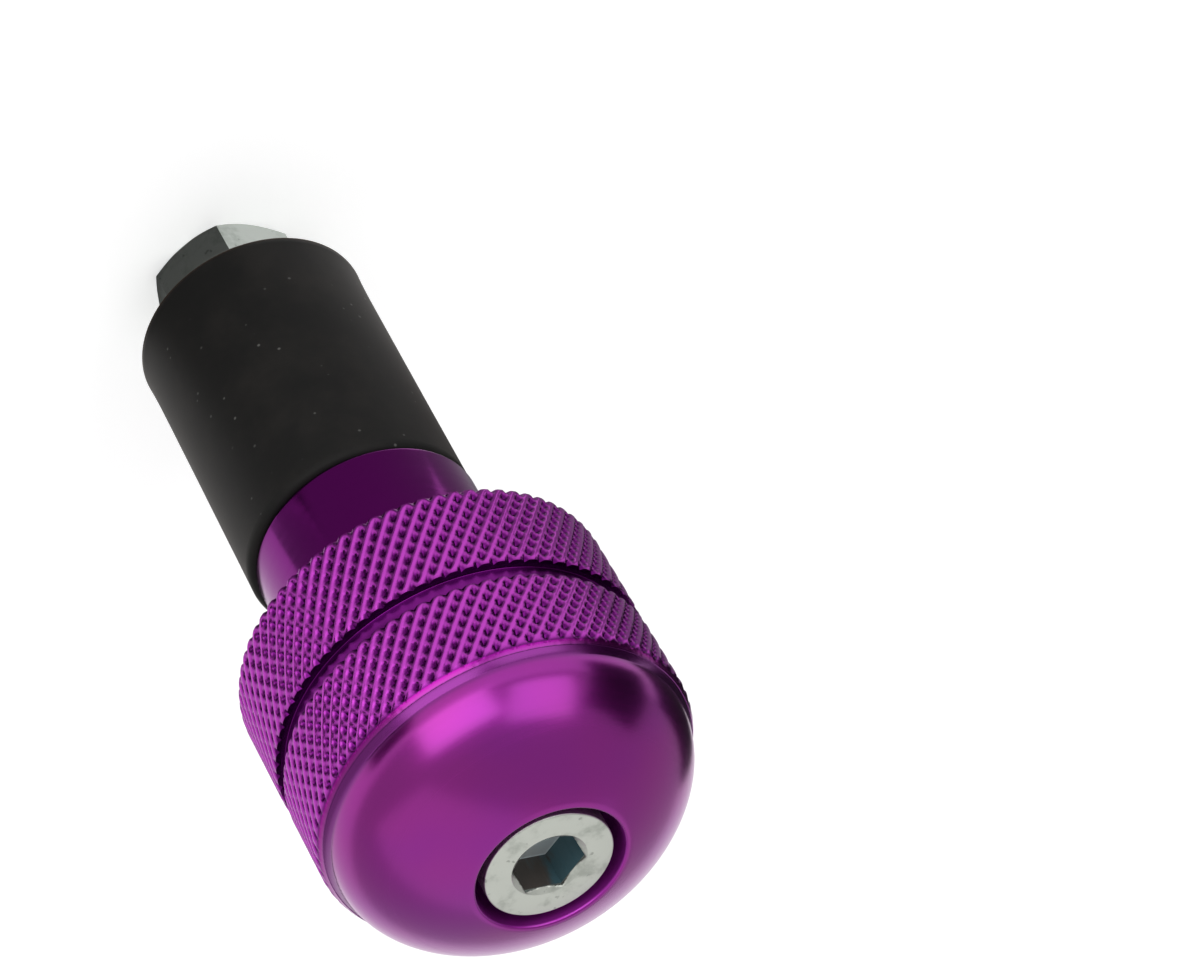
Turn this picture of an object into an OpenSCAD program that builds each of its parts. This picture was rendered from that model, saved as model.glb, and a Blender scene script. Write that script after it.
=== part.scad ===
// Bar end weight for a 22 mm handlebar: a turned and knurled head on a plain neck, with a rubber
// bush that a flange nut squeezes from the far end when the socket screw in the dome is turned.
// It stands on the end face of its nut, dome up, with its axis on Z and the nut's end face at Z = 0.

/* [Head] */
// Diameter of the head over the tips of the knurling
head_d = 29.6; // [26:0.1:34]
// Height of the chamfered rim between the back face and the lower knurled band
rim_h = 0.45; // [0.45:0.05:2]
// Height of the lower knurled band
band_low_h = 7.7; // [5:0.1:10]
// Width of the turned groove between the two bands
groove_w = 1.55; // [1:0.05:3]
// Depth of the groove below the ridges of the knurling
groove_depth = 0.85; // [0.75:0.05:2]
// Height of the upper knurled band, with the bevel under the dome
band_high_h = 7.8; // [5:0.1:10]
// Diameter of the dome where it meets the bevel of the upper band
dome_d = 28; // [24.5:0.1:28.4]
// Height that the dome would have if its crown were not cut away for the screw
dome_h = 8.35; // [7:0.05:12]
// Fullness of the dome: 2 is an ellipse, less is more pointed, more is squarer
dome_fullness = 1.85; // [1.7:0.05:3]

/* [Knurling] */
// Number of diamond pits round the head
knurl_count = 73; // [60:1:96]
// Depth of a pit below the ridges
knurl_depth = 0.38; // [0.25:0.01:0.5]
// Height of half a diamond along the axis, as near as whole rows allow
knurl_row_h = 0.83; // [0.7:0.01:1.2]
// Height of the smooth bevel between the upper band and the dome
bevel_h = 0.45; // [0.3:0.05:1]

/* [Neck] */
// Diameter of the neck, which goes into the bar
neck_d = 18.2; // [16:0.1:19]
// Length of the neck from the bush to the back face of the head
neck_h = 11.6; // [6:0.1:20]
// Fillet where the neck meets the back face
neck_fillet = 0.6; // [0.3:0.1:1]

/* [Rubber bush] */
// Outer diameter of the bush, relaxed
bush_d = 18.6; // [16.5:0.1:19]
// Length of the bush, relaxed
bush_h = 25.5; // [15:0.1:35]
// Rounding of the bush's outer edges
bush_edge = 0.5; // [0.2:0.1:1]

/* [Screw] */
// Thread size of the socket head screw
screw_d = 6; // [5:0.5:6]
// Length under the head
screw_len = 60; // [58:0.5:61]
// Diameter of the screw's head
screw_head_d = 10; // [9:0.1:10]
// Height of the screw's head
screw_head_h = 6; // [5:0.1:6.5]
// Width across the flats of the hexagon socket
socket_af = 5; // [4:0.5:5]
// Depth of the hexagon socket
socket_depth = 3.4; // [2.5:0.1:3.5]
// How far the screw's face lies below the rim of its recess
screw_sink = 0.45; // [0.2:0.05:1.5]

/* [Flange nut] */
// Width across the flats of the nut
nut_af = 11; // [10:0.1:12]
// Height of the nut with its flange
nut_h = 7; // [6.5:0.1:9]
// Diameter of the flange that presses on the bush
flange_d = 17.2; // [16:0.1:17.8]
// Thickness of the flange at its edge
flange_edge_h = 0.9; // [0.6:0.1:1.5]
// Height of the cone between the flange's edge and the hexagon
flange_cone_h = 1.2; // [0.8:0.1:2]
// Turn of the nut's hexagon against the screw's socket, in degrees
nut_turn = 43; // [0:1:59]

/* [Fits] */
// Radial clearance of the screw in the bore of the head and of the bush
bore_play = 0.35; // [0.2:0.05:0.6]
// Radial clearance between the screw and the nut's thread, both drawn as plain cylinders
thread_play = 0.05; // [0.03:0.01:0.1]
// Width of the open ring round the screw's head in its recess
recess_gap = 0.8; // [0.4:0.05:1.2]

/* [Hidden] */
$fn = 96;

dome_steps = 36;
fillet_steps = 8;
rim_break = 0.4;
bevel_bury = 0.15;
bevel_inset = 0.05;
neck_chamfer = 0.5;
seat_depth = 0.3;
ring_wall = 1.4;
ring_bury = 0.2;
ring_step = 0.03;
screw_edge = 0.5;
socket_lead = 0.05;
tip_chamfer = 0.8;
nut_chamfer = 1.15;
nut_chamfer_h = 1.05;
nut_over = 0.2;
cone_over = 0.3;
flange_break = 0.25;
mouth_chamfer = 0.4;
cut = 1;

// Heights of the stack, from the nut's end face up
bush_z = nut_h;
neck_z = bush_z + bush_h;
back_z = neck_z + neck_h;
low_z = back_z + rim_h;
groove_z = low_z + band_low_h;
high_z = groove_z + groove_w;
dome_z = high_z + band_high_h;

// Radii
head_r = head_d / 2;
pit_r = head_r - knurl_depth;
seat_r = pit_r - seat_depth;
groove_r = head_r - groove_depth;
rim_r = head_r - knurl_depth / 2;
dome_r = dome_d / 2;
neck_r = neck_d / 2;
bush_r = bush_d / 2;
screw_r = screw_d / 2;
bore_r = screw_r + bore_play;
recess_r = screw_head_d / 2 + recess_gap;

// The dome follows r^n + z^n = 1, drawn from its base up to the rim of the recess
dome_end = acos(pow(recess_r / dome_r, dome_fullness / 2));
function dome_point(angle) = [
    dome_r * pow(cos(angle), 2 / dome_fullness),
    dome_z + dome_h * pow(sin(angle), 2 / dome_fullness)
];
dome_top = dome_point(dome_end)[1];
screw_face_z = dome_top - screw_sink;
screw_seat_z = screw_face_z - screw_head_h;
screw_tip_z = screw_seat_z - screw_len;

// The upper band ends where the bevel begins
bevel_z = dome_z - bevel_h;

module head_profile() {
    polygon(concat(
        [
            [bore_r, neck_z],
            [neck_r - neck_chamfer, neck_z],
            [neck_r, neck_z + neck_chamfer]
        ],
        [for (i = [0 : fillet_steps])
            let (a = 90 * i / fillet_steps)
            [neck_r + neck_fillet * (1 - cos(a)), back_z - neck_fillet * (1 - sin(a))]],
        [
            [rim_r - rim_break, back_z],
            [rim_r, back_z + rim_break],
            [rim_r, low_z],
            [seat_r, low_z],
            [seat_r, groove_z],
            [groove_r, groove_z],
            [groove_r, high_z],
            [seat_r, high_z],
            [seat_r, bevel_z - bevel_bury],
            [pit_r - bevel_inset, bevel_z - bevel_bury],
            [pit_r - bevel_inset, bevel_z]
        ],
        [for (i = [0 : dome_steps]) dome_point(dome_end * i / dome_steps)],
        [
            [recess_r, screw_seat_z],
            [bore_r, screw_seat_z]
        ]
    ));
}

// One knurled band, a closed ring. Its outside is a grid of points, alternately a crossing of two
// ridges and the bottom of a pit, and each square of the grid folds along its ridge.
module knurl_ring(z_from, z_to) {
    cols = 2 * knurl_count;
    rows = round((z_to - z_from) / knurl_row_h);
    inner_r = seat_r - ring_wall;
    function at(r, col, z) = [r * cos(360 * col / cols), r * sin(360 * col / cols), z];
    function row_z(row) = z_from + (z_to - z_from) * row / rows;
    function grid_r(row, col) = (row + col) % 2 == 0 ? pit_r : head_r;
    function id(row, col) = row * cols + col % cols;
    points = concat(
        [for (row = [0 : rows], col = [0 : cols - 1]) at(grid_r(row, col), col, row_z(row))],
        [for (col = [0 : cols - 1]) at(inner_r, col, z_to)],
        [for (col = [0 : cols - 1]) at(inner_r, col, z_from)]
    );
    outside = [for (row = [0 : rows - 1], col = [0 : cols - 1], half = [0, 1])
        (row + col) % 2 == 0
            ? (half == 0
                ? [id(row, col), id(row + 1, col), id(row, col + 1)]
                : [id(row + 1, col), id(row + 1, col + 1), id(row, col + 1)])
            : (half == 0
                ? [id(row, col), id(row + 1, col + 1), id(row, col + 1)]
                : [id(row, col), id(row + 1, col), id(row + 1, col + 1)])
    ];
    // The top, the bore and the bottom close the ring through the two inner circles
    loop = [rows, rows + 1, rows + 2, 0];
    closing = [for (side = [0 : 2], col = [0 : cols - 1], half = [0, 1])
        half == 0
            ? [id(loop[side], col), id(loop[side + 1], col), id(loop[side], col + 1)]
            : [id(loop[side + 1], col), id(loop[side + 1], col + 1), id(loop[side], col + 1)]
    ];
    polyhedron(points = points, faces = concat(outside, closing), convexity = 4);
}

module head_weight() {
    color("#8a2b92") {
        rotate_extrude() head_profile();
        knurl_ring(low_z - ring_bury, groove_z - ring_step);
        knurl_ring(high_z + ring_step, bevel_z);
    }
}

module rubber_bush() {
    color("#232323")
    rotate_extrude()
    polygon(concat(
        [[bore_r, bush_z]],
        [for (i = [0 : fillet_steps])
            let (a = 90 * i / fillet_steps)
            [bush_r - bush_edge * (1 - sin(a)), bush_z + bush_edge * (1 - cos(a))]],
        [for (i = [0 : fillet_steps])
            let (a = 90 * i / fillet_steps)
            [bush_r - bush_edge * (1 - cos(a)), neck_z - bush_edge * (1 - sin(a))]],
        [[bore_r, neck_z]]
    ));
}

module cap_screw() {
    head_top_r = screw_head_d / 2;
    corner_r = socket_af / 2 / cos(30);
    lead_r = corner_r + socket_lead;
    lead_h = (lead_r - socket_af / 2) * tan(30);
    color("#c9ccc6")
    difference() {
        rotate_extrude()
        polygon([
            [0, screw_tip_z],
            [screw_r - tip_chamfer, screw_tip_z],
            [screw_r, screw_tip_z + tip_chamfer],
            [screw_r, screw_seat_z],
            [head_top_r, screw_seat_z],
            [head_top_r, screw_face_z - screw_edge],
            [head_top_r - screw_edge / 2, screw_face_z],
            [0, screw_face_z]
        ]);
        translate([0, 0, screw_face_z - socket_depth])
        cylinder(r = corner_r, h = socket_depth + cut, $fn = 6);
        rotate_extrude()
        polygon([
            [0, screw_face_z - lead_h],
            [socket_af / 2, screw_face_z - lead_h],
            [lead_r, screw_face_z],
            [lead_r, screw_face_z + cut],
            [0, screw_face_z + cut]
        ]);
    }
}

module flange_nut() {
    hex_r = nut_af / 2 / cos(30);
    flange_r = flange_d / 2;
    edge_z = nut_h - flange_edge_h;
    cone_z = edge_z - flange_cone_h;
    cone_r = nut_af / 2 + cone_over;
    thread_r = screw_r + thread_play;
    color("#c9ccc6")
    difference() {
        union() {
            rotate_extrude()
            polygon([
                [0, cone_z],
                [cone_r, cone_z],
                [flange_r - flange_break, edge_z],
                [flange_r, edge_z + flange_break],
                [flange_r, nut_h],
                [0, nut_h]
            ]);
            intersection() {
                rotate([0, 0, nut_turn])
                cylinder(r = hex_r, h = edge_z, $fn = 6);
                rotate_extrude()
                polygon([
                    [0, 0],
                    [hex_r - nut_chamfer, 0],
                    [hex_r + nut_over, nut_chamfer_h],
                    [hex_r + nut_over, edge_z],
                    [0, edge_z]
                ]);
            }
        }
        translate([0, 0, -cut])
        cylinder(r = thread_r, h = nut_h + 2 * cut);
        rotate_extrude()
        polygon([
            [0, -cut],
            [thread_r + mouth_chamfer + cut, -cut],
            [thread_r, mouth_chamfer],
            [0, mouth_chamfer]
        ]);
    }
}

head_weight();
rubber_bush();
cap_screw();
flange_nut();
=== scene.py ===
# Bar end weight: a knurled and anodised head, a rubber bush, a socket screw and a flange nut.
# The nut keeps its CAD shape; the head, the bush and the screw are made again here, finer.
import math
import bmesh
import bpy
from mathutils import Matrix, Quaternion, Vector


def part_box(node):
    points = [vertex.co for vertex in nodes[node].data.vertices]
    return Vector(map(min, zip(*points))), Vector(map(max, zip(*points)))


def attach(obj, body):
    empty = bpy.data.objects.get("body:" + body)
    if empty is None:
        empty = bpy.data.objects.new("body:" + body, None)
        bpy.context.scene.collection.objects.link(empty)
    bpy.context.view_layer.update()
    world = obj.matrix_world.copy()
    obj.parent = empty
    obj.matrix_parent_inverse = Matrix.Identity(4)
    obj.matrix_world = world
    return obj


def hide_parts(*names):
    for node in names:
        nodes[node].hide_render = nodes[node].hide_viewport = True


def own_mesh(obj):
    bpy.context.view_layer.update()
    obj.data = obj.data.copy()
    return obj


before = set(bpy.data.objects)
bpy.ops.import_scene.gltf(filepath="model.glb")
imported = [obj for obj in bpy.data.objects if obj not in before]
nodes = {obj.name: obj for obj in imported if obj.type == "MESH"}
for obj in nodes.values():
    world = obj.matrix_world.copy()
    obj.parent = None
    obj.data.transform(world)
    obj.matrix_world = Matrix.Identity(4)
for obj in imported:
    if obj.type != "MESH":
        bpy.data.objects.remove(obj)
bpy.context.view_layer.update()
print("frame loaded")

mm = 0.001


def heightOf(node):
    low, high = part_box(node)
    return low[2], high[2]


nutFoot, nutTop = heightOf("flange_nut")
bushLow, bushHigh = heightOf("rubber_bush")
headLow, headTop = heightOf("head_weight")
screwTip, screwFace = heightOf("cap_screw")


# shader helpers
def newMaterial(name):
    material = bpy.data.materials.new(name)
    material.use_nodes = True
    material.node_tree.nodes.clear()
    return material


class Shader:
    # a small hand for wiring one material's nodes
    def __init__(self, name):
        self.material = newMaterial(name)
        self.tree = self.material.node_tree
        self.out = self.add("ShaderNodeOutputMaterial")
        self.coords = self.add("ShaderNodeTexCoord").outputs["Object"]

    def add(self, kind, **settings):
        node = self.tree.nodes.new(kind)
        for key, value in settings.items():
            setattr(node, key, value)
        return node

    def put(self, socket, value):
        if isinstance(value, bpy.types.NodeSocket):
            self.tree.links.new(value, socket)
        else:
            socket.default_value = value

    def math(self, operation, a, b=0.0):
        node = self.add("ShaderNodeMath", operation=operation)
        for socket, value in zip(node.inputs, (a, b)):
            self.put(socket, value)
        return node.outputs[0]

    def separate(self):
        node = self.add("ShaderNodeSeparateXYZ")
        self.put(node.inputs[0], self.coords)
        return node.outputs

    def radius(self, xyz):
        acrossSquared = self.math("MULTIPLY", xyz[0], xyz[0])
        alongSquared = self.math("MULTIPLY", xyz[1], xyz[1])
        return self.math("SQRT", self.math("ADD", acrossSquared, alongSquared))

    def step(self, value, low, high, toLow=0.0, toHigh=1.0):
        node = self.add("ShaderNodeMapRange", interpolation_type="SMOOTHSTEP")
        span = {"From Min": low, "From Max": high, "To Min": toLow, "To Max": toHigh}
        for key, number in span.items():
            node.inputs[key].default_value = number
        self.put(node.inputs["Value"], value)
        return node.outputs[0]

    def under(self, value, limit, soft):
        # 1 under the limit and 0 over it
        return self.step(value, limit - soft, limit + soft, 1.0, 0.0)

    def between(self, value, low, high, lowSoft, highSoft):
        rise = self.step(value, low - lowSoft, low + lowSoft)
        return self.math("MULTIPLY", rise, self.under(value, high, highSoft))

    def combine(self, x, y, z):
        node = self.add("ShaderNodeCombineXYZ")
        for socket, value in zip(node.inputs, (x, y, z)):
            self.put(socket, value)
        return node.outputs[0]

    def noise(self, vector, scale, detail, roughness=0.5):
        node = self.add("ShaderNodeTexNoise")
        self.put(node.inputs["Vector"], vector)
        node.inputs["Scale"].default_value = scale
        node.inputs["Detail"].default_value = detail
        node.inputs["Roughness"].default_value = roughness
        return node.outputs["Fac"]

    def mix(self, factor, a, b):
        node = self.add("ShaderNodeMix", data_type="RGBA")
        self.put(node.inputs[0], factor)
        self.put(node.inputs[6], a)
        self.put(node.inputs[7], b)
        return node.outputs[2]

    def bump(self, height, distance, strength):
        node = self.add("ShaderNodeBump")
        node.inputs["Strength"].default_value = strength
        node.inputs["Distance"].default_value = distance
        self.put(node.inputs["Height"], height)
        return node.outputs[0]

    def principled(self, **values):
        node = self.add("ShaderNodeBsdfPrincipled")
        for key, value in values.items():
            self.put(node.inputs[key.replace("_", " ")], value)
        self.tree.links.new(node.outputs[0], self.out.inputs["Surface"])


# finishes
anodised = {
    "colour": (0.240, 0.007, 0.245, 1.0),
    "redder": (0.268, 0.009, 0.228, 1.0),
    # the crest and recess colours are painted highlights; the valley, neck, groove and shoulder colours
    # are painted shade
    "crest": (0.42, 0.050, 0.43, 1.0),
    "valleyShade": (0.090, 0.005, 0.105, 1.0),
    "neck": (0.17, 0.006, 0.17, 1.0),
    "groove": (0.155, 0.010, 0.175, 1.0),
    "recess": (0.42, 0.03, 0.44, 1.0),
    "recessRoughness": 0.5,
    "recessRadius": 5.86 * mm,
    "edgeTint": (0.92, 0.78, 0.92, 1.0),
    "shoulder": (0.15, 0.005, 0.16, 1.0),
    "shoulderLow": 28.60 * mm,
    "shoulderHigh": 29.35 * mm,
    "coat": 0.52,
    "roughness": 0.25,
    "neckRoughness": 0.16,
    "turningScale": 1900.0,
    "turningDepth": 0.009 * mm,
    "crestRadius": 14.775 * mm,
    "valleyRadius": 14.59 * mm,
    "grooveRadius": 14.3 * mm,
    # the knurled zone and the neck, measured up from the neck's end
    "zoneLow": 11.95 * mm,
    "zoneHigh": 28.28 * mm,
    "neckTop": 11.3 * mm,
    "cloudScale": 90.0,
    # how softly one finish runs into the next
    "softEdge": 0.05 * mm,
    "grooveSoft": 0.02 * mm,
    "shoulderFade": 0.3 * mm,
    "coatFade": 0.3 * mm,
    "recessReach": 7.5 * mm,   # how far below the top of the head the recess's finish goes
}


def anodisedMaterial(v):
    s = Shader("purple anodising")
    xyz = s.separate()
    radius = s.radius(xyz)
    # cloudy dye
    cloud = s.noise(s.coords, v["cloudScale"], 2.0)
    base = s.mix(s.step(cloud, 0.35, 0.7), v["colour"], v["redder"])
    neckTop, zoneLow, zoneHigh = (headLow + v[key] for key in ("neckTop", "zoneLow", "zoneHigh"))
    soft = v["softEdge"]
    # painted shade: the neck is darker than the rest of the head
    base = s.mix(s.step(xyz[2], neckTop, zoneLow, 1.0, 0.0), base, v["neck"])
    # the knurled bands lie between the back rim and the dome:
    # pale crests with a painted highlight, and pits with painted shade
    knurled = s.between(xyz[2], zoneLow, zoneHigh, soft, soft)
    # painted shade: the groove's floor between the bands is darker
    outside = s.step(radius, v["grooveRadius"] - v["grooveSoft"], v["grooveRadius"] + v["grooveSoft"])
    deep = s.step(radius, v["valleyRadius"], v["crestRadius"], 1.0, 0.0)
    knurl = s.mix(deep, v["crest"], v["valleyShade"])
    colour = s.mix(knurled, base, s.mix(outside, v["groove"], knurl))
    # painted shade: the step between the knurl and the dome is darker
    shoulderLow, shoulderHigh = headLow + v["shoulderLow"], headLow + v["shoulderHigh"]
    shoulder = s.between(xyz[2], shoulderLow, shoulderHigh, soft, v["shoulderFade"])
    colour = s.mix(shoulder, colour, v["shoulder"])
    # the wall of the screw's recess is left less smooth by the cutter, and lighter: a painted highlight
    recessFoot = headTop - v["recessReach"]
    recess = s.math("MULTIPLY", s.under(radius, v["recessRadius"], soft),
                    s.step(xyz[2], recessFoot - 0.5 * mm, recessFoot + 0.5 * mm))
    colour = s.mix(recess, colour, v["recess"])
    # turning lines: bands of noise along the axis and outwards, drawn right round
    lines = s.combine(radius, 0.0, xyz[2])
    fine = s.noise(lines, v["turningScale"], 3.0, 0.7)
    rough = s.step(xyz[2], neckTop, zoneLow, v["neckRoughness"], v["roughness"])
    roughness = s.math("ADD", rough, s.math("MULTIPLY", s.math("SUBTRACT", fine, 0.5), 0.12))
    rougher = s.math("MULTIPLY", recess, v["recessRoughness"] - v["roughness"])
    roughness = s.math("ADD", roughness, rougher)
    normal = s.bump(fine, v["turningDepth"], 0.5)
    # only the end with the dome and the recess has a clear gloss over the dye
    coat = s.step(xyz[2], zoneHigh, zoneHigh + v["coatFade"], 0.0, v["coat"])
    s.principled(Base_Color=colour, Metallic=1.0, Roughness=roughness, Normal=normal,
                 Specular_Tint=v["edgeTint"], Coat_Weight=coat, Coat_Roughness=0.2)
    return s.material


zinc = {
    "colour": (0.54, 0.56, 0.51, 1.0),
    "dull": (0.38, 0.40, 0.36, 1.0),
    "nut": (0.50, 0.53, 0.50, 1.0),
    "nutDull": (0.36, 0.39, 0.36, 1.0),
    "fleck": (0.16, 0.17, 0.15, 1.0),
    # the socket colours are painted shade on the walls, with a streaky stain, and painted light on the
    # floor
    "socket": (0.060, 0.125, 0.150, 1.0),
    "socketStainAndShade": (0.080, 0.068, 0.060, 1.0),
    "socketFloorLight": (0.66, 0.71, 0.72, 1.0),
    "roughness": 0.38,
    "patchScale": 420.0,
    "grainScale": 2600.0,
    "grainDepth": 0.005 * mm,
    "markScale": 1300.0,
    "markStrength": 0.5,
    "socketRadius": 2.90 * mm,
    "socketSoft": 0.02 * mm,
    "socketDepth": 3.4 * mm,
    "socketReach": 6.0 * mm,   # the socket's finish ends here, well under its floor
    "mouthDepth": 0.36 * mm,
    "mouthSoft": 0.06 * mm,
}


def zincMaterial(v):
    s = Shader("bright zinc plate")
    xyz = s.separate()
    radius = s.radius(xyz)
    patches = s.noise(s.coords, v["patchScale"], 4.0, 0.65)
    grain = s.noise(s.coords, v["grainScale"], 3.0, 0.6)
    cloudy = s.step(patches, 0.48, 0.72)
    # the nut is a little darker than the screw
    onScrew = s.step(xyz[2], nutTop + 1 * mm, nutTop + 2 * mm)
    base = s.mix(onScrew, s.mix(cloudy, v["nut"], v["nutDull"]), s.mix(cloudy, v["colour"], v["dull"]))
    # small handling marks
    marks = s.step(s.noise(s.coords, v["markScale"], 2.0, 0.5), 0.67, 0.74)
    base = s.mix(s.math("MULTIPLY", marks, v["markStrength"]), base, v["fleck"])
    # the socket's walls are dark and bluish, painted shade with a streaky stain, and its pale floor is
    # painted light
    mouth = s.under(xyz[2], screwFace - v["mouthDepth"], v["mouthSoft"])
    inside = s.math("MULTIPLY", s.under(radius, v["socketRadius"], v["socketSoft"]), mouth)
    finishEnd = screwFace - v["socketReach"]
    inside = s.math("MULTIPLY", inside, s.step(xyz[2], finishEnd, finishEnd + 0.5 * mm))
    streaks = s.noise(s.combine(xyz[0], xyz[1], s.math("MULTIPLY", xyz[2], 0.35)), 900.0, 3.0, 0.6)
    # the walls towards +X and +Y are darker: painted shade
    lean = s.math("ADD", s.math("MULTIPLY", xyz[1], 90.0), s.math("MULTIPLY", xyz[0], 160.0))
    stainAndShade = s.step(s.math("ADD", streaks, lean), 0.42, 0.70)
    wall = s.mix(stainAndShade, v["socket"], v["socketStainAndShade"])
    socketFoot = screwFace - v["socketDepth"]
    # painted light: the socket's floor is pale
    floorHere = s.step(xyz[2], socketFoot + 0.03 * mm, socketFoot + 0.08 * mm, 1.0, 0.0)
    colour = s.mix(inside, base, s.mix(floorHere, wall, v["socketFloorLight"]))
    metal = s.math("SUBTRACT", 1.0, s.math("MULTIPLY", inside, 0.6))
    roughness = s.math("ADD", v["roughness"] - 0.08, s.math("MULTIPLY", patches, 0.16))
    normal = s.bump(grain, v["grainDepth"], 0.45)
    s.principled(Base_Color=colour, Metallic=metal, Roughness=roughness, Normal=normal)
    return s.material


rubber = {
    "colour": (0.0062, 0.0062, 0.0060, 1.0),
    "worn": (0.0115, 0.0105, 0.0096, 1.0),
    "speck": (0.20, 0.20, 0.19, 1.0),
    "dustAndRimHighlight": (0.10, 0.045, 0.020, 1.0),
    "roughness": 0.58,
    "cloudScale": 160.0,
    "dustScale": 900.0,
    "dust": 0.40,
    "grainScale": 3800.0,
    "grainDepth": 0.006 * mm,
    # the brownish rim at the nut's end, dust with a painted rim highlight, between these radii
    "rimInner": 8.68 * mm,
    "rimOuter": 9.08 * mm,
    "rimStrength": 0.5,
}


def rubberMaterial(v):
    s = Shader("black rubber")
    cloud = s.noise(s.coords, v["cloudScale"], 4.0, 0.6)
    base = s.mix(s.step(cloud, 0.4, 0.75), v["colour"], v["worn"])
    # a few grains of pale dust
    cells = s.add("ShaderNodeTexVoronoi")
    s.put(cells.inputs["Vector"], s.coords)
    cells.inputs["Scale"].default_value = v["dustScale"]
    near = s.step(cells.outputs["Distance"], 0.05, 0.15, 1.0, 0.0)
    picked = s.add("ShaderNodeSeparateColor")
    s.put(picked.inputs[0], cells.outputs["Color"])
    chosen = s.step(picked.outputs[0], 0.45, 1.05)
    dust = s.math("MULTIPLY", s.math("MULTIPLY", near, chosen), v["dust"])
    colour = s.mix(dust, base, v["speck"])
    # the edge at the nut's end is lighter and brownish: dust, with a painted rim highlight
    xyz = s.separate()
    rim = s.step(xyz[2], bushLow + 0.10 * mm, bushLow + 0.45 * mm, v["rimStrength"], 0.0)
    rim = s.math("MULTIPLY", rim, s.step(s.radius(xyz), v["rimInner"], v["rimOuter"]))
    colour = s.mix(rim, colour, v["dustAndRimHighlight"])
    grain = s.noise(s.coords, v["grainScale"], 2.0, 0.5)
    normal = s.bump(grain, v["grainDepth"], 0.4)
    s.principled(Base_Color=colour, Roughness=v["roughness"], Normal=normal,
                 Specular_IOR_Level=0.13, Sheen_Weight=0.05, Sheen_Roughness=0.4,
                 Sheen_Tint=(1.0, 0.82, 0.70, 1.0))
    return s.material


def dress(node, material):
    mesh = nodes[node].data
    mesh.materials.clear()
    mesh.materials.append(material)


anodising = anodisedMaterial(anodised)
zincPlate = zincMaterial(zinc)
blackRubber = rubberMaterial(rubber)
dress("head_weight", anodising)
dress("flange_nut", zincPlate)
print("finishes made")


# geometry nodes helpers
def newTree(name, inputs):
    tree = bpy.data.node_groups.new(name, "GeometryNodeTree")
    for label, kind, value in inputs:
        socket = tree.interface.new_socket(name=label, in_out="INPUT", socket_type=kind)
        if value is not None:
            socket.default_value = value
    tree.interface.new_socket(name="Geometry", in_out="OUTPUT", socket_type="NodeSocketGeometry")
    return tree


def link(tree, source, target):
    tree.links.new(source, target)


def treeNode(tree, kind, links=(), **settings):
    node = tree.nodes.new(kind)
    for key, value in settings.items():
        setattr(node, key, value)
    for name, value in dict(links).items():
        if isinstance(value, bpy.types.NodeSocket):
            tree.links.new(value, node.inputs[name])
        else:
            node.inputs[name].default_value = value
    return node


def bakeTree(name, tree, values, material, section=()):
    # runs the tree on the section's closed outline and keeps the result as a plain mesh object
    outline = bpy.data.meshes.new(name + " outline")
    edges = [(i, (i + 1) % len(section)) for i in range(len(section))]
    outline.from_pydata([(x, y, 0.0) for x, y in section], edges, [])
    host = bpy.data.objects.new(name + " host", outline)
    bpy.context.scene.collection.objects.link(host)
    modifier = host.modifiers.new("shape", "NODES")
    modifier.node_group = tree
    for item in tree.interface.items_tree:
        if item.in_out == "INPUT" and item.name in values:
            modifier[item.identifier] = values[item.name]
    graph = bpy.context.evaluated_depsgraph_get()
    mesh = bpy.data.meshes.new_from_object(host.evaluated_get(graph))
    host.modifiers.clear()
    bpy.data.objects.remove(host)
    piece = bpy.data.objects.new(name, mesh)
    bpy.context.scene.collection.objects.link(piece)
    mesh.materials.clear()
    mesh.materials.append(material)
    return piece


def fixNormals(piece):
    shape = bmesh.new()
    shape.from_mesh(piece.data)
    bmesh.ops.remove_doubles(shape, verts=shape.verts, dist=1e-7)
    bmesh.ops.recalc_face_normals(shape, faces=shape.faces)
    shape.to_mesh(piece.data)
    shape.free()


class Shape:
    # a small hand for wiring one geometry tree's maths
    def __init__(self, tree):
        self.tree = tree

    def math(self, operation, a, b=0.0, c=0.0):
        return treeNode(self.tree, "ShaderNodeMath", {0: a, 1: b, 2: c}, operation=operation).outputs[0]

    def store(self, geometry, name, value, kind="FLOAT"):
        given = {"Geometry": geometry, "Name": name, "Value": value}
        kinds = {"data_type": kind, "domain": "POINT"}
        return treeNode(self.tree, "GeometryNodeStoreNamedAttribute", given, **kinds).outputs[0]

    def read(self, name, kind="FLOAT"):
        node = treeNode(self.tree, "GeometryNodeInputNamedAttribute", {"Name": name}, data_type=kind)
        return node.outputs[0]

    def drop(self, geometry, name):
        node = treeNode(self.tree, "GeometryNodeRemoveAttribute", {"Geometry": geometry, "Name": name})
        return node.outputs[0]


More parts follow.
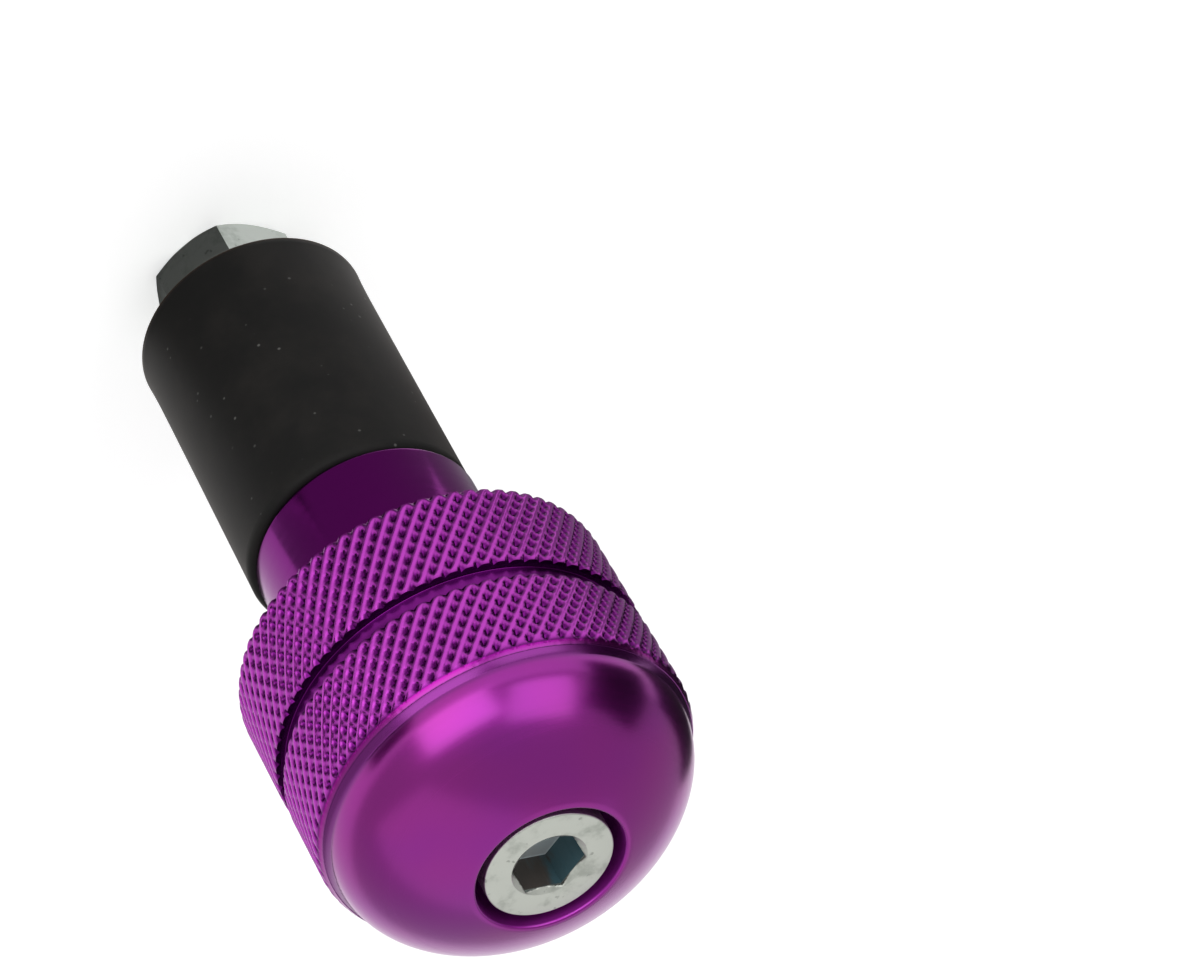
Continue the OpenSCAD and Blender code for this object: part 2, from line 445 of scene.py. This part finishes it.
# the head
head = {
    "pits": 73,
    "columnsPerPit": 8,
    "stepsPerRow": 4,
    "rows": 9,
    "crest": 14.78 * mm,
    "pitDepth": 0.38 * mm,
    "ridgeFlat": 0.24,   # part of the way from a ridge's middle to the pit's that is flat
    "crossRidge": 0.80,  # height of the ridges that lean the other way
    "bore": 3.35 * mm,
    "neck": 9.1 * mm,
    "neckLength": 11.6 * mm,
    "neckFillet": 0.6 * mm,
    "neckEdge": 0.5 * mm,
    "back": 14.2 * mm,
    "backRim": ((-0.04 * mm, 0.0), (0.06 * mm, 0.03 * mm)),  # outwards and up from the back's edge
    "bandStep": 0.19 * mm,   # from the back's edge out to the foot of the first band
    # the bands and the dome, measured up from the neck's end
    "lowBand": (11.85 * mm, 19.72 * mm),
    "highBand": (21.33 * mm, 28.65 * mm),
    # how far the crests are turned down, step by step, to the dome's end and to the other ends
    "domeEnd": (0.36 * mm, 0.25 * mm, 0.15 * mm, 0.07 * mm, 0.02 * mm),
    "otherEnd": (0.10 * mm, 0.03 * mm),
    "grooveRadius": 13.95 * mm,
    "shoulder": 14.37 * mm,
    "domeBase": 29.1 * mm,
    "domeRadius": 14.0 * mm,
    "domeHeight": 8.35 * mm,
    "domeFullness": 1.85,
    "domeSteps": 34,
    "recess": 5.8 * mm,
    "recessRound": 0.22 * mm,
    "grooveFoot": 0.05 * mm,
    "knurlReach": 0.37 * mm,   # only what lies within this of the crests is knurled
    "crispAngle": 42,    # degrees: edges that bend more than this are not shaded soft
    "seat": 30.07 * mm,
}


def arc(centreX, centreY, radius, start, stop, steps):
    # points of an arc, angles in degrees
    out = []
    for i in range(steps + 1):
        angle = math.radians(start + (stop - start) * i / steps)
        out.append((centreX + radius * math.cos(angle), centreY + radius * math.sin(angle)))
    return out


def band(v, low, high, lowEnd, highEnd):
    # the crest line of one knurled band, turned down at its ends
    steps = v["rows"] * v["stepsPerRow"]
    drops = [0.0] * (steps + 1)
    drops[:len(lowEnd)] = lowEnd
    drops[-len(highEnd):] = reversed(highEnd)
    return [(v["crest"] - drops[i], low + (high - low) * i / steps) for i in range(steps + 1)]


def headSection(v):
    base = headLow
    back = base + v["neckLength"]
    fillet = v["neckFillet"]
    edge = v["neckEdge"]
    points = [(v["bore"], base), (v["neck"] - edge - 0.05 * mm, base)]
    points += arc(v["neck"] - edge, base + edge, edge, -80, 0, 4)
    points += arc(v["neck"] + fillet, back - fillet, fillet, 180, 90, 5)
    points += [(v["back"] + out, back + up) for out, up in v["backRim"]]
    lowFrom, lowTo = (base + z for z in v["lowBand"])
    highFrom, highTo = (base + z for z in v["highBand"])
    points.append((v["back"] + v["bandStep"], lowFrom))
    points += band(v, lowFrom, lowTo, v["otherEnd"], v["otherEnd"])
    foot = v["grooveFoot"]
    points += arc(v["grooveRadius"] + foot, lowTo + foot, foot, 270, 180, 3)
    points += arc(v["grooveRadius"] + foot, highFrom - foot, foot, 180, 90, 3)
    points += band(v, highFrom, highTo, v["otherEnd"], v["domeEnd"])
    points.append((v["shoulder"], highTo))
    # the dome's curve up to the rounded rim of the recess
    power = v["domeFullness"]
    rim = v["recess"] + v["recessRound"]
    last = math.acos((rim / v["domeRadius"]) ** (power / 2))
    dome = []
    for i in range(v["domeSteps"] + 1):
        angle = last * i / v["domeSteps"]
        dome.append((v["domeRadius"] * math.cos(angle) ** (2 / power),
                     base + v["domeBase"] + v["domeHeight"] * math.sin(angle) ** (2 / power)))
    points += dome
    rimX, rimZ = dome[-1]
    points += arc(rimX, rimZ - v["recessRound"], v["recessRound"], 100, 180, 4)
    points += [(v["recess"], base + v["seat"]), (v["bore"], base + v["seat"])]
    return points


def headTree(v):
    tree = newTree("head shape", (
        ("Outline", "NodeSocketGeometry", None),
        ("Pits round", "NodeSocketInt", v["pits"]),
        ("Columns in a pit", "NodeSocketInt", v["columnsPerPit"]),
        ("Pit depth", "NodeSocketFloat", v["pitDepth"]),
        ("Flat of a ridge", "NodeSocketFloat", v["ridgeFlat"]),
        ("Height of cross ridges", "NodeSocketFloat", v["crossRidge"]),
        ("Material", "NodeSocketMaterial", None),
    ))
    given = tree.nodes.new("NodeGroupInput").outputs
    output = tree.nodes.new("NodeGroupOutput")
    s = Shape(tree)
    outline = treeNode(tree, "GeometryNodeMeshToCurve", {"Mesh": given["Outline"]}).outputs[0]
    where = treeNode(tree, "GeometryNodeInputPosition").outputs[0]
    outline = s.store(outline, "section", where, "FLOAT_VECTOR")
    columns = s.math("MULTIPLY", given["Pits round"], given["Columns in a pit"])
    # any radius will do here, because every point is placed again below
    circle = treeNode(tree, "GeometryNodeCurvePrimitiveCircle", {"Resolution": columns, "Radius": 0.01})
    ring = circle.outputs[0]
    index = treeNode(tree, "GeometryNodeInputIndex").outputs[0]
    ring = s.store(ring, "turn", s.math("MULTIPLY", s.math("DIVIDE", index, columns), 2 * math.pi))
    sweep = {"Curve": ring, "Profile Curve": outline}
    swept = treeNode(tree, "GeometryNodeCurveToMesh", sweep).outputs[0]
    turn = s.read("turn")
    section = treeNode(tree, "ShaderNodeSeparateXYZ", {0: s.read("section", "FLOAT_VECTOR")}).outputs
    radius, height = section[0], section[1]
    # rows counted up each band, and half pitches counted round
    lowFrom, lowTo = (headLow + z for z in v["lowBand"])
    highFrom, highTo = (headLow + z for z in v["highBand"])
    lowRow = s.math("MULTIPLY", s.math("SUBTRACT", height, lowFrom), v["rows"] / (lowTo - lowFrom))
    highRow = s.math("MULTIPLY", s.math("SUBTRACT", height, highFrom), v["rows"] / (highTo - highFrom))
    upper = s.math("GREATER_THAN", height, (lowTo + highFrom) / 2)
    row = s.math("MULTIPLY_ADD", upper, s.math("SUBTRACT", highRow, lowRow), lowRow)
    column = s.math("MULTIPLY", turn, s.math("DIVIDE", given["Pits round"], math.pi))

    def ridge(count):
        # 1 on the flat of a ridge and 0 at the middle of the pits beside it
        way = s.math("FRACT", s.math("ADD", s.math("MULTIPLY", count, 0.5), 0.00001))
        away = s.math("ABSOLUTE", s.math("MULTIPLY_ADD", way, 2.0, -1.0))
        sloping = s.math("SUBTRACT", 1.0, given["Flat of a ridge"])
        slope = s.math("DIVIDE", s.math("SUBTRACT", 1.0, away), sloping)
        return s.math("MINIMUM", slope, 1.0)

    leaning = ridge(s.math("SUBTRACT", column, row))
    crossing = s.math("MULTIPLY", ridge(s.math("ADD", column, row)), given["Height of cross ridges"])
    tall = s.math("MAXIMUM", leaning, crossing)
    knurled = s.math("GREATER_THAN", radius, v["crest"] - v["knurlReach"])
    depth = s.math("MULTIPLY", s.math("SUBTRACT", 1.0, tall), given["Pit depth"])
    dip = s.math("MULTIPLY", depth, knurled)
    out = s.math("MINIMUM", radius, s.math("SUBTRACT", v["crest"], dip))
    place = treeNode(tree, "ShaderNodeCombineXYZ", {
        0: s.math("MULTIPLY", out, s.math("COSINE", turn)),
        1: s.math("MULTIPLY", out, s.math("SINE", turn)),
        2: height}).outputs[0]
    moved = treeNode(tree, "GeometryNodeSetPosition", {"Geometry": swept, "Position": place}).outputs[0]
    moved = s.drop(s.drop(moved, "turn"), "section")
    # soft shading, with crisp corners where the turned edges are
    soft = treeNode(tree, "GeometryNodeSetShadeSmooth", {0: moved}, domain="FACE").outputs[0]
    bend = treeNode(tree, "GeometryNodeInputMeshEdgeAngle").outputs["Unsigned Angle"]
    sharp = s.math("GREATER_THAN", bend, math.radians(v["crispAngle"]))
    edges = {0: soft, 1: sharp, 2: False}
    crisp = treeNode(tree, "GeometryNodeSetShadeSmooth", edges, domain="EDGE").outputs[0]
    real = treeNode(tree, "GeometryNodeRealizeInstances", {0: crisp}).outputs[0]
    dressed = treeNode(tree, "GeometryNodeSetMaterial", {0: real, "Material": given["Material"]})
    link(tree, dressed.outputs[0], output.inputs[0])
    return tree


def makeHead(v):
    piece = bakeTree("turned_head", headTree(v), {"Material": anodising}, anodising, headSection(v))
    fixNormals(piece)
    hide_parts("head_weight")
    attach(piece, "weight")
    print("head made of", len(piece.data.polygons), "faces")


makeHead(head)


# the rubber bush
bush = {
    "outer": 9.28 * mm,
    "bore": 3.7 * mm,
    "edge": 0.25 * mm,
    "flare": 0.12 * mm,          # at the nut's end, where the nut has spread it
    "flareLength": 1.6 * mm,
    "offCentre": 0.28 * mm,      # at the neck, less at the nut
    "offCentreFar": -0.12 * mm,
    "offCentreTurn": 31.0,       # degrees about the axis
    "wave": 0.05 * mm,
    "waveScale": 95.0,
    "around": 160,
    "cornerSteps": 6,
    "stepLength": 0.5 * mm,
    "travel": 2.02 * mm,         # a hair more than the nut's, so that the two never cross
}


def bushTree(v):
    tree = newTree("bush shape", (
        ("Length", "NodeSocketFloat", bushHigh - bushLow),
        ("Outer radius", "NodeSocketFloat", v["outer"]),
        ("Bore radius", "NodeSocketFloat", v["bore"]),
        ("Edge radius", "NodeSocketFloat", v["edge"]),
        ("Wave", "NodeSocketFloat", v["wave"]),
        ("Flare", "NodeSocketFloat", v["flare"]),
        ("Material", "NodeSocketMaterial", None),
    ))
    given = tree.nodes.new("NodeGroupInput").outputs
    output = tree.nodes.new("NodeGroupOutput")
    s = Shape(tree)
    wall = s.math("SUBTRACT", given["Outer radius"], given["Bore radius"])
    middle = s.math("MULTIPLY", s.math("ADD", given["Outer radius"], given["Bore radius"]), 0.5)
    # the wall's section, with rounded corners, swept round a circle
    size = {"Width": wall, "Height": given["Length"]}
    section = treeNode(tree, "GeometryNodeCurvePrimitiveQuadrilateral", size).outputs[0]
    corners = {"Curve": section, "Radius": given["Edge radius"], "Count": v["cornerSteps"]}
    rounded = treeNode(tree, "GeometryNodeFilletCurve", corners, mode="POLY").outputs[0]
    steps = {"Curve": rounded, "Length": v["stepLength"]}
    even = treeNode(tree, "GeometryNodeResampleCurve", steps, mode="LENGTH").outputs[0]
    circle = {"Resolution": v["around"], "Radius": middle}
    ring = treeNode(tree, "GeometryNodeCurvePrimitiveCircle", circle).outputs[0]
    swept = treeNode(tree, "GeometryNodeCurveToMesh", {"Curve": ring, "Profile Curve": even}).outputs[0]
    # moulded rubber is never quite true
    place = treeNode(tree, "GeometryNodeInputPosition").outputs[0]
    wave = {"Vector": place, "Scale": v["waveScale"], "Detail": 1.0}
    noise = treeNode(tree, "ShaderNodeTexNoise", wave)
    height = s.math("MULTIPLY", s.math("SUBTRACT", noise.outputs["Fac"], 0.5), given["Wave"])
    level = {0: place, 1: (1.0, 1.0, 0.0)}
    flat = treeNode(tree, "ShaderNodeVectorMath", level, operation="MULTIPLY").outputs[0]
    outward = treeNode(tree, "ShaderNodeVectorMath", {0: flat}, operation="NORMALIZE").outputs[0]
    # it spreads a little at the nut's end
    up = treeNode(tree, "ShaderNodeSeparateXYZ", {0: place}).outputs[2]
    rise = s.math("ADD", up, s.math("MULTIPLY", given["Length"], 0.5))
    spread = s.math("EXPONENT", s.math("DIVIDE", rise, -v["flareLength"]))
    radius = treeNode(tree, "ShaderNodeVectorMath", {0: flat}, operation="LENGTH").outputs["Value"]
    outer = s.math("GREATER_THAN", radius, middle)
    bulge = s.math("MULTIPLY", s.math("MULTIPLY", spread, outer), given["Flare"])
    shift = {0: outward, "Scale": s.math("ADD", height, bulge)}
    push = treeNode(tree, "ShaderNodeVectorMath", shift, operation="SCALE").outputs[0]
    moved = treeNode(tree, "GeometryNodeSetPosition", {"Geometry": swept, "Offset": push}).outputs[0]
    smooth = treeNode(tree, "GeometryNodeSetShadeSmooth", {"Geometry": moved}).outputs[0]
    real = treeNode(tree, "GeometryNodeRealizeInstances", {"Geometry": smooth}).outputs[0]
    finish = {"Geometry": real, "Material": given["Material"]}
    dressed = treeNode(tree, "GeometryNodeSetMaterial", finish)
    link(tree, dressed.outputs[0], output.inputs[0])
    return tree


def makeBush(v):
    piece = bakeTree("soft_bush", bushTree(v), {"Material": blackRubber}, blackRubber)
    turn = math.radians(v["offCentreTurn"])
    side = Vector((math.cos(turn), math.sin(turn), 0.0))
    length = bushHigh - bushLow
    for vertex in piece.data.vertices:
        share = vertex.co.z / length + 0.5
        vertex.co += side * (v["offCentreFar"] + (v["offCentre"] - v["offCentreFar"]) * share)
        vertex.co.z += (bushLow + bushHigh) / 2
    fixNormals(piece)
    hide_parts("rubber_bush")
    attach(piece, "weight")
    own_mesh(piece)


makeBush(bush)
print("bush made")


# the screw
screw = {
    "headRadius": 5.0 * mm,
    "headHeight": 6.0 * mm,
    "headEdge": 0.14 * mm,
    "shank": 3.0 * mm,
    "pitch": 1.0 * mm,
    "threadDepth": 0.55 * mm,
    "threadLength": 24.0 * mm,
    "tipRadius": 2.35 * mm,
    "socketFlats": 5.0 * mm,
    "socketDepth": 3.4 * mm,
    "socketMouth": 2.94 * mm,
    "mouthSlope": 0.75,        # how deep the socket's mouth goes for each step inwards
    "underRound": 0.2 * mm,
    "crispAngle": 28,          # degrees: edges that bend more than this are not shaded soft
    "around": 96,
    "stepsPerTurn": 6,
}


def hexagonReach(angle, flats):
    # how far a hexagon's side lies from its middle, with a corner on +X
    return flats / 2 / math.cos((angle % (math.pi / 3)) - math.pi / 6)


def screwRings(v):
    # rings of radii, from the tip up, over the head and down into the socket
    turns = [2 * math.pi * i / v["around"] for i in range(v["around"])]
    rings = []

    def ring(height, reach):
        rings.append([(reach(a) * math.cos(a), reach(a) * math.sin(a), height) for a in turns])

    def plain(height, radius):
        ring(height, lambda a: radius)

    def threaded(height):
        # the crest is a quarter of the pitch wide, and the thread climbs as it turns right-handed
        def reach(a):
            phase = ((height - screwTip) / v["pitch"] - a / (2 * math.pi)) % 1.0
            depth = max(0.0, min(1.0, (abs(phase - 0.5) - 0.125) / 0.3125))
            fade = min(1.0, (screwTip + v["threadLength"] - height) / (2 * v["pitch"]))
            point = v["tipRadius"] + (height - screwTip)
            return min(v["shank"] - v["threadDepth"] * depth * fade, point)
        ring(height, reach)

    steps = int(v["threadLength"] / v["pitch"] * v["stepsPerTurn"])
    for i in range(steps + 1):
        threaded(screwTip + v["threadLength"] * i / steps)
    seat = screwFace - v["headHeight"]
    plain(seat, v["shank"])
    under = v["underRound"]
    for radius, height in arc(v["headRadius"] - under, seat + under, under, -90, 0, 4):
        plain(height, radius)
    edge = v["headEdge"]
    for radius, height in arc(v["headRadius"] - edge, screwFace - edge, edge, 0, 90, 5):
        plain(height, radius)
    # the mouth of the socket is a cone that runs out on the flats
    lead = v["socketMouth"] - v["socketFlats"] / 2
    for i in range(6):
        down = lead * i / 5
        cone = v["socketMouth"] - down
        ring(screwFace - down * v["mouthSlope"], lambda a: max(hexagonReach(a, v["socketFlats"]), cone))
    floor = screwFace - v["socketDepth"]
    ring(floor, lambda a: hexagonReach(a, v["socketFlats"]))
    return rings, floor


def makeScrew(v):
    rings, floor = screwRings(v)
    around = v["around"]
    points = [(0.0, 0.0, screwTip)] + [point for ring in rings for point in ring] + [(0.0, 0.0, floor)]
    faces = [(0, 1 + (i + 1) % around, 1 + i) for i in range(around)]
    for level in range(len(rings) - 1):
        low, high = 1 + level * around, 1 + (level + 1) * around
        for i in range(around):
            after = (i + 1) % around
            faces.append((low + i, low + after, high + after, high + i))
    last = 1 + (len(rings) - 1) * around
    faces += [(last + i, last + (i + 1) % around, len(points) - 1) for i in range(around)]
    mesh = bpy.data.meshes.new("socket_screw")
    mesh.from_pydata(points, [], faces)
    piece = bpy.data.objects.new("socket_screw", mesh)
    bpy.context.scene.collection.objects.link(piece)
    mesh.materials.append(zincPlate)
    fixNormals(piece)
    mesh.shade_smooth()
    mesh.set_sharp_from_angle(angle=math.radians(v["crispAngle"]))
    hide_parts("cap_screw")
    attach(piece, "screw")
    print("screw made of", len(mesh.polygons), "faces")


makeScrew(screw)


# floor, light and camera
camera = {
    "place": (127.65 * mm, -244.58 * mm, 284.18 * mm),
    "azimuth": -59.0,  # degrees, of the way back from the view, about Z from +X
    "elevation": 41.49,
    "roll": 148.59,
    "lens": 147.27,
    "shiftX": 0.0043,
    "shiftY": 0.0107,
}


def cameraTurn(v):
    azimuth, elevation = math.radians(v["azimuth"]), math.radians(v["elevation"])
    reach = math.cos(elevation)
    back = Vector((reach * math.cos(azimuth), reach * math.sin(azimuth), math.sin(elevation)))
    level = back.to_track_quat("Z", "Y")
    return level @ Quaternion((0, 0, 1), math.radians(v["roll"]))


def placeCamera(v):
    data = bpy.data.cameras.new("camera")
    data.lens = v["lens"]
    data.shift_x = v["shiftX"]
    data.shift_y = v["shiftY"]
    data.clip_start = 0.01
    obj = bpy.data.objects.new("camera", data)
    bpy.context.scene.collection.objects.link(obj)
    obj.location = v["place"]
    obj.rotation_mode = "QUATERNION"
    obj.rotation_quaternion = cameraTurn(v)
    bpy.context.scene.camera = obj


placeCamera(camera)

studio = {
    "world": 0.62,
    "floorColour": (0.92, 0.92, 0.92, 1.0),
    "floorGlow": 0.31,
    "floorHalf": 4.0,
    "floorDrop": 0.05 * mm,   # below the nut's foot, so that the two don't flicker
    "target": (0.0, 0.0, 58 * mm),
    # each lamp: the way from the target as the camera sees it (right, up, near),
    # then distance, width and height in metres, and watts
    "lamps": {
        "left key": ((-0.26, 0.345, 0.90), 0.8, 0.66, 0.60, 2.65),
        "right key": ((0.54, 0.42, 0.73), 0.8, 0.52, 0.60, 1.45),
        "soft top": ((0.10, -0.95, 0.29), 0.8, 1.8, 0.8, 1.7),
    },
    # each card is dark, out of the camera's sight and seen in the metal only, a painted dark
    # reflection: the same, in metres
    "cards": {
        "left card": ((-0.90, 0.42, 0.20), 0.12, 0.065, 0.09),
        "right card": ((0.90, 0.42, 0.05), 0.16, 0.10, 0.16),
        "far card": ((0.62, 0.25, -0.74), 0.10, 0.07, 0.10),
    },
    "cardColour": (0.015, 0.015, 0.018, 1.0),
    # and some grey ones that lie flat just over the floor, painted dim reflections of the floor: from
    # corner to corner, and how high
    "flatCards": {
        "front card": ((-32 * mm, -52 * mm), (54 * mm, -16 * mm), 1.5 * mm),
        "far front card": ((-85 * mm, -52 * mm), (-44 * mm, -16 * mm), 1.5 * mm),
        "neck card": ((32 * mm, -16 * mm), (58 * mm, 9 * mm), 1.5 * mm),
        "side card": ((-95 * mm, -16 * mm), (-26 * mm, 45 * mm), 1.5 * mm),
    },
    "flatCardColour": (0.34, 0.34, 0.35, 1.0),
    # a dark card just over the floor by the nut, seen in the metal only: a painted dark reflection in
    # the nut
    "nutCard": ((1 * mm, -18 * mm), (32 * mm, 3 * mm), 0.3 * mm),
    "nutCardColour": (0.055, 0.055, 0.055, 1.0),
}


def aim(way):
    # the turn that points a thing's face back along the way it lies in
    away = cameraTurn(camera) @ Vector(way).normalized()
    return away, away.to_track_quat("Z", "Y")


def placeLamp(name, lamp, v):
    way, distance, width, height, power = lamp
    data = bpy.data.lights.new(name, "AREA")
    data.shape = "RECTANGLE"
    data.size = width
    data.size_y = height
    data.energy = power
    obj = bpy.data.objects.new(name, data)
    bpy.context.scene.collection.objects.link(obj)
    away, turn = aim(way)
    obj.location = Vector(v["target"]) + away * distance
    obj.rotation_mode = "QUATERNION"
    obj.rotation_quaternion = turn
    obj.visible_camera = False


def cardCorners(card, v):
    way, distance, width, height = card
    away, turn = aim(way)
    middle = Vector(v["target"]) + away * distance
    signs = ((-1, -1), (1, -1), (1, 1), (-1, 1))
    return [middle + turn @ Vector((x * width / 2, y * height / 2, 0.0)) for x, y in signs]


def flatCorners(card):
    (nearX, nearY), (farX, farY), over = card
    return [(nearX, nearY, over), (farX, nearY, over), (farX, farY, over), (nearX, farY, over)]


def placeCard(name, corners, material):
    mesh = bpy.data.meshes.new(name)
    mesh.from_pydata(corners, [], [(0, 1, 2, 3)])
    obj = bpy.data.objects.new(name, mesh)
    bpy.context.scene.collection.objects.link(obj)
    mesh.materials.append(material)
    obj.visible_camera = False
    obj.visible_shadow = False
    obj.visible_diffuse = False


def makeFloor(v):
    mesh = bpy.data.meshes.new("floor")
    half = v["floorHalf"]
    mesh.from_pydata(flatCorners(((-half, -half), (half, half), -v["floorDrop"])), [], [(0, 1, 2, 3)])
    floor = bpy.data.objects.new("floor", mesh)
    bpy.context.scene.collection.objects.link(floor)
    s = Shader("floor")
    diffuse = s.add("ShaderNodeBsdfDiffuse")
    diffuse.inputs["Color"].default_value = v["floorColour"]
    # what the camera, metal and glass see of it is lifted towards white; its shadows stay
    glow = s.add("ShaderNodeEmission")
    path = s.add("ShaderNodeLightPath")
    seen = s.math("MAXIMUM", path.outputs["Is Camera Ray"],
                  s.math("MAXIMUM", path.outputs["Is Glossy Ray"], path.outputs["Is Transmission Ray"]))
    s.put(glow.inputs["Strength"], s.math("MULTIPLY", seen, v["floorGlow"]))
    both = s.add("ShaderNodeAddShader")
    s.tree.links.new(diffuse.outputs[0], both.inputs[0])
    s.tree.links.new(glow.outputs[0], both.inputs[1])
    s.tree.links.new(both.outputs[0], s.out.inputs["Surface"])
    mesh.materials.append(s.material)


def makeWorld(v):
    world = bpy.data.worlds.new("studio")
    bpy.context.scene.world = world
    world.use_nodes = True
    tree = world.node_tree
    tree.nodes.clear()
    out = tree.nodes.new("ShaderNodeOutputWorld")
    background = tree.nodes.new("ShaderNodeBackground")
    background.inputs["Color"].default_value = (1.0, 1.0, 1.0, 1.0)
    background.inputs["Strength"].default_value = v["world"]
    tree.links.new(background.outputs[0], out.inputs["Surface"])


def cardMaterial(name, colour):
    s = Shader(name)
    felt = s.noise(s.coords, 300.0, 2.0)
    s.principled(Base_Color=colour, Roughness=s.step(felt, 0.3, 0.7, 0.85, 1.0))
    return s.material


makeFloor(studio)
makeWorld(studio)
for lampName, lamp in studio["lamps"].items():
    placeLamp(lampName, lamp, studio)
black = cardMaterial("black card", studio["cardColour"])
grey = cardMaterial("grey card", studio["flatCardColour"])
for cardName, card in studio["cards"].items():
    placeCard(cardName, cardCorners(card, studio), black)
for cardName, card in studio["flatCards"].items():
    placeCard(cardName, flatCorners(card), grey)
dark = cardMaterial("nut card", studio["nutCardColour"])
placeCard("nut card", flatCorners(studio["nutCard"]), dark)
bpy.context.scene.view_settings.view_transform = "Standard"
print("studio set")
